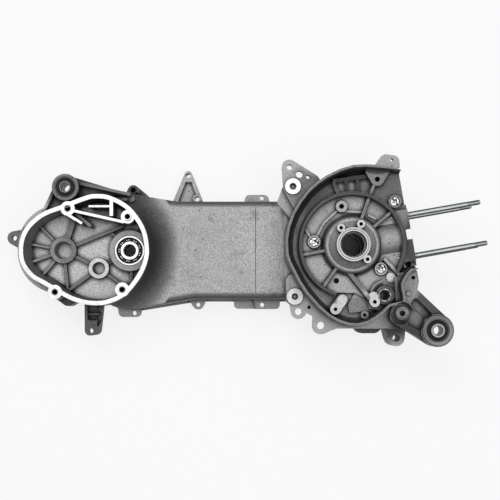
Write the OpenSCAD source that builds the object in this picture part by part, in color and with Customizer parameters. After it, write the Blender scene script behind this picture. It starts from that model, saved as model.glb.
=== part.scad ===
// Engine crankcase of a small scooter: a long transmission side case with the
// belt channel and the reduction gear housing, bolted to a flywheel side case
// with the cooling fan scroll, cylinder studs and the engine mounting arm.
// Millimetres. The case lies on its belt cover flange, Z points to the wheel
// side, the crank axis is the Z axis and the cylinder points along +X.

/* [Main sizes] */
// Distance from the crank axis to the clutch shaft axis
centre_distance = 255.6; // [250:0.5:262]
// Height of the belt channel roof above the belt cover flange
channel_h = 58; // [54:0.5:62]
// Height of the joint between the two cases above the belt cover flange
split_h = 78; // [76:0.5:80]
// Height of the gear housing rim above the belt cover flange
gear_rim_h = 95; // [90:0.5:98]
// Height of the machined ring round the crank above the belt cover flange
ring_face_h = 128; // [126:0.5:132]
// Half width of the belt channel
channel_half_w = 57.8; // [57:0.2:59]
// Thickness of the cast walls
wall_t = 4; // [3.4:0.2:4.6]

/* [Crank and cylinder] */
// Diameter of the crank seal bore in the flywheel side
seal_bore_d = 30; // [28:0.5:31]
// Diameter of the two main bearing seats
main_seat_d = 47; // [46:1:48]
// Radius of the crank chamber
chamber_r = 36.5; // [35.5:0.5:37.5]
// Width of the crank chamber between the two cases
chamber_w = 40; // [38:0.5:41]
// Angle of the cylinder axis above the X axis
cylinder_tilt = 10; // [8:0.5:12]
// Distance from the crank axis to the cylinder base face
cylinder_face = 68.5; // [67:0.5:70]
// Diameter of the hole for the cylinder skirt
skirt_bore_d = 44; // [40:0.5:46]
// Distance between neighbouring cylinder studs
stud_spacing = 47; // [46:0.5:48]
// Diameter of a cylinder stud
stud_d = 6; // [5.5:0.1:6.5]
// Length of a cylinder stud outside the case
stud_out = 84; // [70:1:110]

/* [Gear housing] */
// Inside diameter of the clutch shaft bearing
bearing_bore_d = 15; // [14:0.5:16]
// Outside diameter of the clutch shaft bearing
bearing_d = 35; // [34:0.5:36]
// Width of the clutch shaft bearing
bearing_w = 11; // [10:0.5:12]
// Diameter of the wheel axle seat
axle_seat_d = 21; // [19:0.5:23]
// Diameter of the countershaft seat
counter_seat_d = 15; // [13:0.5:16]

/* [Rubber bushes] */
// Outside diameter of the shock absorber bush
shock_bush_d = 25; // [24:0.5:26]
// Length of the shock absorber bush sleeve
shock_sleeve_l = 31; // [28:0.5:34]
// Outside diameter of the engine mount bush
arm_bush_d = 27; // [26:0.5:28]
// Length of the engine mount bush sleeve
arm_sleeve_l = 26; // [24:0.5:30]
// Bore of both bush sleeves
sleeve_bore_d = 10.2; // [9:0.2:11]

/* [Hidden] */
$fn = 48;
// Thickness of the paper joint between the cases
joint_t = 0.5;
// Lower and upper face of the paper joint
joint_lo = split_h - joint_t / 2;
joint_hi = split_h + joint_t / 2;
// Crank chamber end walls
chamber_lo = split_h - chamber_w / 2;
chamber_hi = split_h + chamber_w / 2;
// Outer face of the flywheel side wall, the scroll floor and the plate
wall_top = chamber_hi + 6;
scroll_floor = split_h + 20;
plate_top = split_h + 10;
scroll_rim = ring_face_h - 7;
inner_rim = ring_face_h - 10;
// Roof of the belt cavity and floor of the gear housing
roof_lo = channel_h - wall_t;
gear_floor = channel_h + 4;
// Middle line of the belt channel
mid_y = -2.2;
// Clutch shaft, wheel axle and countershaft positions
clutch_x = -centre_distance;
clutch_y = -3.9;
axle_x = clutch_x - 77.6;
axle_y = -3.6;
counter_x = clutch_x - 36;
counter_y = -24.6;
// Round end of the gear housing towards the crank
gear_x = clutch_x - 38;
gear_y = -3.5;
drum_r = 67.5;
// Rolled root of a cylinder stud and how far it stands out of the case
stud_root_d = stud_d - 0.4;
stud_root_h = 2;
// Lip of the belt cover flange and its height
lip = 2.8;
lip_h = 6;
// Slope of the channel sides next to the clutch housing
flare = 9.2;
// Shock absorber bush and engine mount bush
shock_x = clutch_x - 71.3;
shock_y = 67.5;
shock_top = gear_rim_h + 1;
arm_x = 97;
arm_y = -96.4;
arm_top = ring_face_h - 18;
stand_x = 56;
stand_y = -106;

CAST = [0.56, 0.57, 0.58];
STEEL = [0.75, 0.76, 0.78];
RUBBER = [0.12, 0.12, 0.13];
PAPER = [0.35, 0.33, 0.3];

// Points of an arc round a centre
function arc(c, r, a0, a1, n = 8) =
    [for (i = [0:n]) [c[0] + r * cos(a0 + (a1 - a0) * i / n), c[1] + r * sin(a0 + (a1 - a0) * i / n)]];

// Closed smooth curve through points
function curve(p, n = 4) = let (k = len(p))
    [for (i = [0:k - 1]) for (j = [0:n - 1]) let (
        t = j / n,
        a = p[(i + k - 1) % k],
        b = p[i],
        c = p[(i + 1) % k],
        d = p[(i + 2) % k]
    ) 0.5 * (2 * b + (c - a) * t + (2 * a - 5 * b + 4 * c - d) * t * t + (3 * b - a - 3 * c + d) * t * t * t)];

// The same closed outline moved inwards by d
function inset(p, d) = let (k = len(p))
    [for (i = [0:k - 1]) let (
        v = p[(i + 1) % k] - p[(i + k - 1) % k],
        l = norm(v)
    ) p[i] + d * [-v[1], v[0]] / l];

// Direction of the tangent from one circle to the next, counter-clockwise
function tangent(a, b) = let (
    dx = b[0] - a[0],
    dy = b[1] - a[1],
    l = norm([dx, dy])
) atan2(dy, dx) - acos(min(1, max(-1, (a[2] - b[2]) / l)));

// Twice the signed area of the polygon through circle centres
function turning(c) = let (k = len(c), v = [for (i = [0:k - 1]) let (j = (i + 1) % k) c[i][0] * c[j][1] - c[j][0] * c[i][1]])
    v * [for (q = v) 1];

// Outline of a belt stretched round circles given in order as x, y, r
function belt(given, n = 6) = let (
    k = len(given),
    c = turning(given) < 0 ? [for (i = [1:k]) given[k - i]] : given
)
    [for (i = [0:k - 1]) let (
        a0 = tangent(c[(i + k - 1) % k], c[i]),
        a1 = tangent(c[i], c[(i + 1) % k]),
        turn = (a1 - a0) - 360 * floor((a1 - a0) / 360)
    ) for (j = [0:n]) [c[i][0] + c[i][2] * cos(a0 + turn * j / n), c[i][1] + c[i][2] * sin(a0 + turn * j / n)]];

// Solid between flat outlines at rising heights, all seen whole from the centre
module skin(c, outlines, heights) {
    k = len(outlines[0]);
    m = len(heights);
    pts = concat(
        [for (i = [0:m - 1]) for (q = outlines[i]) [q[0], q[1], heights[i]]],
        [[c[0], c[1], heights[0]], [c[0], c[1], heights[m - 1]]]
    );
    sides = [for (i = [0:m - 2]) for (j = [0:k - 1]) let (
        a = i * k + j,
        b = i * k + (j + 1) % k
    ) each [[a, a + k, b], [b, a + k, b + k]]];
    ends = [for (j = [0:k - 1]) each [
        [m * k, j, (j + 1) % k],
        [m * k + 1, (m - 1) * k + (j + 1) % k, (m - 1) * k + j]
    ]];
    polyhedron(points = pts, faces = concat(sides, ends));
}

// Flat slab of an outline between two heights
module slab(p, z0, z1) {
    translate([0, 0, z0])
        linear_extrude(z1 - z0)
            polygon(p);
}

// Round post between two heights
module post(x, y, r, z0, z1) {
    translate([x, y, z0])
        cylinder(r = r, h = z1 - z0);
}

// Straight rib between two points
module rib(a, b, t, z0, z1) {
    l = norm(b - a);
    translate([a[0], a[1], z0])
        rotate([0, 0, atan2(b[1] - a[1], b[0] - a[0])])
            translate([0, -t / 2, 0])
                cube([l, t, z1 - z0]);
}

// Sets the origin on the crank axis at the machined ring face
module from_ring() {
    translate([0, 0, -ring_face_h])
        children();
}

// Turns a child so that its Z axis runs along the cylinder axis
module along_cylinder() {
    translate([0, 0, split_h])
        rotate([0, 0, cylinder_tilt])
            rotate([0, 90, 0])
                children();
}

// Half of the channel's cross section from the middle line to one side, rolled at its upper edge
module half_section(w, h, r) {
    square([w - r, h]);
    square([w, h - r]);
    translate([w - r, h - r])
        circle(r = r);
}

// Whole cross section of the belt channel
module channel_section(w, h, r) {
    half_section(w, h, r);
    mirror([1, 0])
        half_section(w, h, r);
}

module along_x(x0, x1) {
    translate([x0, 0, 0])
        rotate([90, 0, 90])
            linear_extrude(x1 - x0)
                children();
}

gear_outline = curve([
    [gear_x + 62.4, gear_y + 4], [gear_x + 57, gear_y + 26], [gear_x + 40.6, gear_y + 48.6],
    [gear_x + 18.6, gear_y + 60.9], [gear_x + 1, gear_y + 63], [gear_x - 11, gear_y + 60.6],
    [gear_x - 37, gear_y + 50.7], [gear_x - 60.7, gear_y + 41.2], [gear_x - 78.4, gear_y + 25.2],
    [gear_x - 85.9, gear_y + 6], [gear_x - 84.2, gear_y - 16], [gear_x - 72.5, gear_y - 32.2],
    [gear_x - 59.3, gear_y - 40], [gear_x - 43, gear_y - 49.6], [gear_x - 25.6, gear_y - 58.8],
    [gear_x - 6.6, gear_y - 63.8], [gear_x + 14, gear_y - 63], [gear_x + 35.3, gear_y - 53.5],
    [gear_x + 52.2, gear_y - 33.5], [gear_x + 61, gear_y - 14]
], 4);

gear_foot = belt([
    [gear_x + 1, gear_y, 63], [gear_x - 44, gear_y + 4, 49.5], [gear_x - 44, gear_y - 1, 49.5]
], 14);

// Scroll wall of the fan as angle round the crank and radius
scroll_wall = [
    [71, 93.9], [80.5, 91.2], [90, 89.2], [100, 86], [111, 83], [120, 81], [129, 79.4], [141, 77.4],
    [153, 76.4], [165, 75.9], [176, 75.8], [188, 75.6], [195, 74.7], [202, 73.4], [214.5, 73.8], [227, 75.8],
    [241, 80], [252, 85], [260.5, 88.3], [267.5, 90.4], [274, 91], [281, 89.6], [287, 87], [292.6, 84.4]
];
// The wall runs on round the starter and closes along the cylinder face: x, y, inward x, inward y
scroll_side = [
    [38.6, -72, -0.4, 0.9], [41.5, -69.4, -0.3, 1], [45.5, -68.2, -0.1, 1], [58.6, -66, -1, 1],
    [58.8, -58, -1, 0], [57, -50, -1, 0], [56.6, -44, -1, 0], [58.2, -39.6, -0.9, 0.3],
    [62.4, -33, -0.7, 0.7], [66, -29.4, -0.4, 0.9]
];
function scroll_at(d, out) = concat(
    [[72.8 + out, -27.6 + d], [53.5 + out, 84 - d], [43, 87.6 - d]],
    [for (q = scroll_wall) (q[1] - d) * [cos(q[0]), sin(q[0])]],
    [for (q = scroll_side) [q[0] + d * q[2], q[1] + d * q[3]]]
);

// Flat floor inside the scroll, open towards the starter
inner_floor = concat(arc([0, 0], 58.5, -29, 249, 36), [
    [-17, -53.4], [4, -53.8], [16.5, -60.5], [19.5, -71.5], [33, -73.5], [40, -67.5], [49, -65], [50.4, -34]
]);

// Screw places of the two cases
case_screw_at = [[-42.8, 4], [48.6, 49.6], [32.9, -26.6]];
dowel_at = [[-66, 69], [-63.8, -57.7]];
// Screw bosses of the gear housing rim
gear_screw_at = [[gear_x - 30.4, gear_y + 46.5], [gear_x - 45, gear_y - 49.1], [gear_x + 32, gear_y - 46.3]];
gear_dowel_at = [gear_x + 38.3, gear_y + 37];

// Belt cover outline grown by d, flat
module cover_plan(d) {
    r = drum_r + d;
    w = channel_half_w + d;
    top_x = clutch_x + r * sin(flare) + (clutch_y + r * cos(flare) - mid_y - w) / tan(flare);
    low_x = clutch_x + r * sin(flare) + (mid_y - w - clutch_y + r * cos(flare)) / tan(flare);
    translate([0, mid_y])
        circle(r = w, $fn = 96);
    translate([clutch_x, mid_y - w])
        square([-clutch_x, 2 * w]);
    translate([clutch_x, clutch_y])
        circle(r = r, $fn = 96);
    polygon([
        [clutch_x, clutch_y], [low_x, mid_y], [top_x, mid_y], [top_x, mid_y + w],
        [clutch_x + r * sin(flare), clutch_y + r * cos(flare)]
    ]);
    polygon([
        [clutch_x, clutch_y], [clutch_x + r * sin(flare), clutch_y - r * cos(flare)],
        [low_x, mid_y - w], [low_x, mid_y]
    ]);
}

// Rolled side of the channel next to the clutch housing, s is 1 for the upper side
module flare_side(s) {
    w = channel_half_w;
    run = (s * (clutch_y - mid_y) + drum_r * cos(flare) - w) / sin(flare);
    reach = drum_r - 0.15;
    translate([clutch_x + reach * sin(flare), clutch_y + s * reach * cos(flare), 0])
        rotate([0, 0, -s * flare])
            mirror([0, s > 0 ? 0 : 1, 0])
                translate([0, -50, 0])
                    along_x(-2, run + 3)
                        half_section(50, channel_h - 0.05, 8.8);
}

// Outer body of the belt channel, clutch housing and gear housing
module transmission_skin() {
    translate([0, mid_y, 0])
        along_x(clutch_x, 0)
            channel_section(channel_half_w, channel_h, 9);
    translate([0, mid_y, 0])
        rotate_extrude($fn = 96)
            half_section(channel_half_w, channel_h, 9);
    translate([clutch_x, clutch_y, 0])
        rotate_extrude($fn = 96)
            half_section(drum_r, channel_h, 9);
    flare_side(1);
    flare_side(-1);
    linear_extrude(lip_h)
        cover_plan(lip);
    slab(gear_outline, 30, gear_rim_h + 1);
    slab(gear_foot, 34, 68);
    gear_ramp();
    shock_bracket();
    cover_tabs();
    crank_flange();
}

// Hollow sweep from the gear housing rim down to the channel roof
module gear_ramp() {
    sweep = gear_rim_h - 0.5 - channel_h;
    intersection() {
        translate([gear_x, gear_y, 0])
            rotate_extrude($fn = 96)
                difference() {
                    translate([0, 20])
                        square([62.5 + sweep, channel_h + sweep - 20]);
                    translate([62.5 + sweep, channel_h + sweep])
                        circle(r = sweep);
                }
        linear_extrude(gear_rim_h)
            cover_plan(-1);
    }
}

// Bracket that carries the shock absorber bush
module shock_bracket() {
    slab(belt([[shock_x, shock_y, 15.2], [gear_x - 57.5, gear_y + 42.5, 4], [gear_x + 40, gear_y + 60, 4]]), 68, 75);
    post(shock_x, shock_y, 15.2, shock_top - shock_sleeve_l + 1, shock_top - 1);
    rib([shock_x - 13.6, shock_y - 1], [gear_x - 59.8, gear_y + 42], 3.2, 60, 89);
    rib([shock_x + 13, shock_y + 5.6], [gear_x + 40, gear_y + 63.5], 3.4, 58, 88);
    rib([shock_x - 13.6, shock_y - 1], [shock_x - 13, shock_y + 3], 3.2, 66, 89);
    rib([gear_x + 8, gear_y + 60], [gear_x + 36, gear_y + 58], 3, 60, 82);
}

// Tabs and ears on the belt cover flange
module cover_tabs() {
    // Screw ear above the clutch housing
    slab(belt([[clutch_x - 2.4, 73, 6.6], [clutch_x + 12, 62, 6], [clutch_x - 10, 58, 6]]), 0, 14);
    // Three-sided bracket
    slab(belt([[clutch_x + 65, 92, 4.6], [clutch_x + 48, 56, 3], [clutch_x + 81, 56, 3]]), 0, 10);
    difference() {
        slab(belt([[clutch_x + 65, 92, 4.6], [clutch_x + 48, 56, 3], [clutch_x + 81, 56, 3]]), 0, 15);
        slab([[clutch_x + 61.5, 83], [clutch_x + 50.6, 54], [clutch_x + 78.5, 54], [clutch_x + 68.8, 83]], 10, 16);
    }
    post(clutch_x + 75.6, 62.6, 5.2, 0, 16);
    // Tab above the channel
    slab(belt([[-98, 62.4, 5.6], [-116, 62.4, 5.6], [-120.5, 54, 3], [-93, 54, 3]]), 0, 10);
    // Ear and tabs below the channel
    slab(belt([[-179, -65.8, 6.8], [-173, -56, 6], [-186, -56, 6]]), 0, 10);
    slab(belt([[-84, -67, 5], [-82, -56, 4], [-132, -56, 4], [-130, -66.6, 5]]), 0, 7);
    slab(belt([[-84, -67, 5], [-82, -56, 4], [-108, -56, 4], [-104.5, -67, 5]]), 0, 12);
    slab(belt([[clutch_x + 0.6, -76, 5.8], [clutch_x + 4, -62, 5], [clutch_x - 18, -62, 5], [clutch_x - 15, -76, 5.8]]), 0, 10);
    // Long lug below the gear housing
    difference() {
        slab(belt([
            [gear_x - 12.6, -97.4, 6.4], [gear_x - 6.6, -96.6, 6.4], [gear_x - 3.2, -60, 7], [gear_x - 12.2, -60, 7]
        ]), 30, 44);
        slab(belt([
            [gear_x - 12.2, -82, 3.6], [gear_x - 6.8, -82, 3.6], [gear_x - 4, -60, 4], [gear_x - 12, -60, 4]
        ]), 36, 45);
        slab(belt([[gear_x - 3.4, -92, 1], [gear_x - 2, -74, 1], [gear_x + 3, -80, 2]]), 38, 45);
    }
    rib([gear_x - 17, -78], [gear_x - 2, -78], 2.2, 32, 41);
    // Ear on the far end and the swelling under the rear screw boss
    slab(belt([[gear_x - 103, 12.8, 8.2], [gear_x - 88, 2, 6], [gear_x - 86, 18, 6]]), 34, 44);
    slab(belt([[gear_x - 48, -54, 6], [gear_x - 36, -60.5, 8], [gear_x - 25, -57, 6]]), 34, 60);
}

// Crank half of the transmission side up to the joint
module crank_flange() {
    post(0, 0, chamber_r + 12, 40, split_h + 1);
    slab(belt([
        [52, 46, 10], [-66, 69, 9.6], [-70, 40, 6], [-70, -30, 6], [-63.8, -57.7, 9.8], [-30, -76, 8],
        [22, -84, 8], [58, -62, 8]
    ]), split_h - 12, split_h + 1);
    slab(belt([[-66, 69, 9.6], [-70, 44, 6], [-30, 44, 10]]), 34, split_h - 11);
    slab(belt([[-63.8, -57.7, 9.8], [-40, -50, 9], [-66, -40, 8]]), 34, split_h - 11);
    // Lower web with the stand boss
    slab(belt([[60, -58, 8], [-10, -66, 8], [14, -84, 8], [58, -84, 8]]), 57, 67);
    slab(belt([[stand_x, stand_y, 9.8], [48.6, -84, 8.6], [60, -82, 8]]), 22, 66);
    slab(belt([[17, -91, 9.6], [30, -91, 9.6], [30, -60, 8], [17, -60, 8]]), 32, 60);
}

// Block that carries one half of the cylinder face, between two places along the cylinder axis
module cylinder_block(x0, x1, half_w, z0, z1) {
    rotate([0, 0, cylinder_tilt])
        translate([x0, -half_w, z0])
            cube([x1 - x0, 2 * half_w, z1 - z0]);
}

// Ribs, bosses and partitions inside the gear housing
module gear_inside() {
    axle = [axle_x, axle_y];
    counter = [counter_x, counter_y];
    clutch = [clutch_x, clutch_y];
    post(axle_x, axle_y, 15.2, 40, gear_floor + 10);
    post(counter_x, counter_y, 11.8, 56, gear_floor + 11);
    post(clutch_x, clutch_y, 25, 56, gear_floor + 4);
    post(clutch_x, clutch_y, bearing_d / 2 + 3.2, 56, gear_floor + bearing_w - 0.6);
    // Ribs between the seats and the wall
    for (q = [[-62, 23, 2.6], [-76.4, 7, 2.6], [-76.2, -13.4, 3], [-65, -30, 3], [-35.3, -41.6, 3.2]])
        rib(axle, [gear_x + q[0], gear_y + q[1]], q[2], gear_floor - 1, gear_floor + 7);
    rib(axle, [gear_x - 27.6, gear_y + 36], 6, gear_floor - 1, gear_floor + 9.2);
    rib(axle, [gear_x + 24, gear_y + 26], 3, gear_floor - 1, gear_floor + 7);
    rib(axle, counter, 3.4, gear_floor - 1, gear_floor + 7);
    rib(counter, clutch, 3.4, gear_floor - 1, gear_floor + 3.6);
    rib(counter, [gear_x - 30, gear_y - 44], 3.2, gear_floor - 1, gear_floor + 7);
    rib(counter, [gear_x + 28, gear_y - 40], 3.2, gear_floor - 1, gear_floor + 7);
    rib([clutch_x + 1.6, clutch_y - 20], [clutch_x + 1.6, clutch_y - 41], 3, gear_floor - 1, gear_floor + 8);
    rib([clutch_x - 21, clutch_y + 20], [clutch_x - 13, clutch_y + 12], 3, gear_floor - 1, gear_floor + 7);
    // Screw bosses of the cover
    for (q = gear_screw_at)
        post(q[0], q[1], 8.2, 44, gear_rim_h + 1);
    post(gear_dowel_at[0], gear_dowel_at[1], 7.8, 56, gear_rim_h + 1);
    // Breather chamber
    rib([gear_x + 34, gear_y + 31], [gear_x - 27, gear_y + 44.6], 3.2, gear_floor - 1, gear_rim_h + 1);
    rib([gear_x + 19.6, gear_y + 57], [gear_x + 19.6, gear_y + 38], 4, gear_floor - 1, gear_rim_h + 1);
    rib([gear_x - 6.4, gear_y + 49], [gear_x + 20, gear_y + 49], 2.4, gear_floor - 1, gear_rim_h + 1);
    // Bent baffle beside it
    rib([gear_x - 31, gear_y + 40], [gear_x - 21, gear_y + 33.6], 3.2, gear_floor - 1, gear_rim_h + 1);
    rib([gear_x - 22, gear_y + 34.6], [gear_x - 14, gear_y + 29.4], 3, gear_floor - 1, gear_rim_h + 1);
    rib([gear_x - 22, gear_y + 41], [gear_x - 5, gear_y + 26.8], 3.4, gear_floor - 1, gear_rim_h - 6);
}

// Inside of the belt cavity and the underside of the gear housing
module belt_side_inside() {
    // Crank hub
    post(0, 0, chamber_r + 12, channel_h - 10, split_h + 1);
    post(0, 0, main_seat_d / 2 + 6, chamber_lo - 24, chamber_lo);
    for (a = [30:60:330])
        rotate([0, 0, a])
            rib([20, 0], [chamber_r + 11, 0], 4, chamber_lo - 20, chamber_lo);
    // Clutch shaft hub
    post(clutch_x, clutch_y, 21, roof_lo - 10, gear_floor);
    for (a = [45:45:315])
        translate([clutch_x, clutch_y, 0])
            rotate([0, 0, a])
                rib([16, 0], [drum_r - 2, 0], 4, roof_lo - 5, roof_lo + 2);
    // Roof ribs along the channel
    for (s = [-1, 1])
        rib([clutch_x + 60, mid_y + s * 22], [-50, mid_y + s * 22], 3, roof_lo - 6, roof_lo + 2);
    rib([-109, mid_y - 54], [-109, mid_y + 54], 3, roof_lo - 6, roof_lo + 2);
    // Ribs under the gear housing floor
    for (a = [110, 145, 180, 215, 250])
        translate([axle_x, axle_y, 0])
            rotate([0, 0, a])
                rib([12, 0], [44, 0], 3.4, 42, 58);
    // Screw bosses of the belt cover inside the rim
    for (q = [[-140, mid_y + channel_half_w - 5], [-60, mid_y - channel_half_w + 5]])
        post(q[0], q[1], 5.6, 0, 44);
}

// Channel, clutch housing and gear housing with everything inside them
module transmission_body() {
    difference() {
        transmission_skin();
        // Belt cavity
        translate([0, 0, -1])
            linear_extrude(roof_lo + 1)
                cover_plan(-wall_t);
        // Gear housing
        slab(inset(gear_outline, 5), gear_floor, gear_rim_h + 2);
        // Hollow under the far end of the gear housing
        difference() {
            slab(inset(gear_foot, 5), 20, gear_floor - 6);
            post(clutch_x, clutch_y, drum_r - 0.5, 0, channel_h);
        }
    }
    intersection() {
        gear_inside();
        union() {
            slab(inset(gear_outline, 1), gear_floor - 8, gear_rim_h + 1);
            slab(gear_outline, 38, gear_floor - 7);
            for (q = gear_screw_at)
                post(q[0], q[1], 8.2, 40, gear_rim_h + 1);
        }
    }
    belt_side_inside();
}

module transmission_side_case() {
    color(CAST) from_ring()
        difference() {
            union() {
                difference() {
                    transmission_body();
                    cylinder_block(28, cylinder_face + 9, 34, 48, split_h + 9);
                }
                difference() {
                    cylinder_block(26, cylinder_face, 35, 46, split_h + 2);
                    skirt_hole();
                }
            }
            transmission_cuts();
        }
}

module transmission_cuts() {
    // Joint face and gear housing rim
    translate([-110, -130, joint_lo])
        cube([220, 260, 30]);
    translate([gear_x - 100, gear_y - 80, gear_rim_h])
        cube([180, 160, 10]);
    // Crank chamber, main bearing seat and seal bore
    post(0, 0, chamber_r, chamber_lo, split_h + 1);
    post(0, 0, main_seat_d / 2, chamber_lo - 14, chamber_lo + 1);
    post(0, 0, main_seat_d / 2 - 3.5, chamber_lo - 16, chamber_lo);
    post(0, 0, seal_bore_d / 2 + 1, chamber_lo - 25, chamber_lo);
    stud_holes();
    // Clutch shaft: bearing seat, passage and seal seat
    post(clutch_x, clutch_y, bearing_d / 2, gear_floor, gear_rim_h);
    post(clutch_x, clutch_y, bearing_d / 2 - 3, roof_lo, gear_rim_h);
    post(clutch_x, clutch_y, 13, roof_lo - 11, roof_lo - 3);
    post(clutch_x, clutch_y, 10, roof_lo - 11, roof_lo + 1);
    // Wheel axle and countershaft seats
    post(axle_x, axle_y, axle_seat_d / 2, gear_floor - 8, gear_rim_h);
    post(counter_x, counter_y, counter_seat_d / 2, gear_floor - 3, gear_rim_h);
    // Shock absorber bush
    post(shock_x, shock_y, shock_bush_d / 2, 0, gear_rim_h + 9);
    // Screw and dowel holes of the gear housing rim
    for (q = gear_screw_at)
        post(q[0], q[1], 3.2, gear_rim_h - 24, gear_rim_h + 1);
    post(gear_dowel_at[0], gear_dowel_at[1], 4.3, gear_rim_h - 7, gear_rim_h + 1);
    post(gear_dowel_at[0], gear_dowel_at[1], 3, gear_rim_h - 22, gear_rim_h);
    // Holes of the belt cover flange
    for (q = [
        [clutch_x - 2.4, 73, 3], [clutch_x + 65, 91, 2.9], [clutch_x + 75.6, 62.6, 3], [-101, 64.4, 2.8],
        [-179, -66.8, 2.6], [-100.5, -67, 2.6], [clutch_x - 1.6, -77, 2.8],
        [-140, mid_y + channel_half_w - 5, 2.6], [-60, mid_y - channel_half_w + 5, 2.6]
    ])
        post(q[0], q[1], q[2], -1, 22);
    post(gear_x - 11.6, -98, 2.9, 29, 45);
    post(gear_x - 103, 12.8, 3.2, 33, 45);
    post(stand_x, stand_y, 4.2, 21, 68);
    // Case screws and dowels
    for (q = case_screw_at)
        post(q[0], q[1], 3, split_h - 16, split_h + 1);
    for (q = dowel_at)
        post(q[0], q[1], 4.4, split_h - 6, split_h + 1);
    // Faint parting line across the channel roof
    rib([-108.7, mid_y - 56], [-108.7, mid_y + 56], 0.8, channel_h - 0.5, channel_h + 1);
}

// Round hole for the cylinder skirt
module skirt_hole() {
    along_cylinder()
        translate([0, 0, 20])
            cylinder(d = skirt_bore_d, h = cylinder_face);
}

module stud_holes() {
    along_cylinder()
        for (y = [-1, 1], z = [-1, 1])
            translate([z * stud_spacing / 2, y * stud_spacing / 2, cylinder_face - 20])
                cylinder(d = stud_root_d, h = 40);
}

// Screw ears and plates round the flywheel side at the joint
module flywheel_plate() {
    // Upper left ear
    slab(belt([[-70.2, 91.4, 8.6], [-71, 67, 6], [-56, 44, 8], [-44, 74, 9.4]]), split_h - 1, plate_top);
    slab(belt([[-70, 64, 9], [-81, 51.5, 3], [-64, 36, 6]]), split_h - 1, plate_top - 4);
    post(-66, 69, 9.2, split_h - 1, plate_top + 2);
    // Upper right ear
    slab(belt([[41, 98, 8], [33, 86, 8], [50, 80, 8], [49.3, 97.8, 7.2]]), split_h - 1, plate_top);
    // Lower left ears
    slab(belt([[-63.8, -57.7, 9.6], [-50, -66, 8], [-50, -46, 10], [-66, -40, 8]]), split_h - 1, plate_top);
    post(-63.8, -57.7, 9.4, split_h - 1, plate_top + 2);
    slab(belt([[-59.6, -75, 8.6], [-48, -60, 8], [-62, -58, 9]]), split_h - 1, plate_top);
    slab(belt([[-33.8, -91.4, 9.8], [-18, -86, 8.5], [-30, -66, 12]]), split_h - 1, plate_top);
    slab(belt([[-48, -70.5, 6.4], [-34, -76, 8], [-40, -56, 8]]), split_h - 1, plate_top);
    // Straight lower edge
    slab([[-24, -94.5], [57, -94.5], [57, -60], [-24, -60]], split_h - 1, plate_top);
}

// Arm to the engine mount
module mount_arm() {
    slab(belt([[arm_x, arm_y, 18.7], [66, -54, 9], [60, -64, 9], [52, -80, 8.2]]), joint_hi + 4, arm_top - 8);
    post(arm_x, arm_y, 18.7, joint_hi + 4, arm_top - 3);
    post(arm_x, arm_y, 16.8, joint_hi + 4, arm_top - 1);
    // Plate beside the scroll wall
    slab(belt([[68.6, -38.5, 8.2], [69, -34, 7.6], [60, -32, 4], [56, -60, 6], [66, -56, 8]]), split_h - 1, plate_top + 14);
    slab([[56, -68], [58, -38], [66, -28.6], [77, -28.6], [76.4, -33], [68, -60]], split_h - 1, plate_top + 14);
}

module arm_pockets() {
    // Long upper pocket, lower pocket and the hollow round the screw boss
    slab(belt([[73, -63.4, 3.6], [88, -77.6, 3.2], [84, -80.4, 2.6], [70.5, -66, 3]]), plate_top + 3, ring_face_h);
    slab(belt([[71.6, -74.6, 3], [80.4, -82, 3], [76.6, -93.2, 3.4], [66.4, -88.6, 3]]), plate_top + 5, ring_face_h);
    difference() {
        slab(belt([[57.4, -76, 12.6], [49.4, -75.4, 5], [56, -78.6, 11.4]]), plate_top + 6, ring_face_h);
        post(58.2, -77, 7.8, split_h - 1, plate_top + 12);
    }
}

// Half section of the hub over a wall of height h: foot fillet, rounded shoulder, cone and ring
module hub_section(h) {
    square([33, h + 5]);
    square([28, h + 10]);
    translate([28, h + 5])
        circle(r = 5);
    difference() {
        translate([32, 0])
            square([4.9, h + 4]);
        translate([36.9, h + 4])
            circle(r = 4);
    }
    polygon([[0, h + 9], [27.4, h + 9.9], [19.4, h + 14], [0, h + 14]]);
    square([18.8, ring_face_h - wall_top + h]);
}

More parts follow.
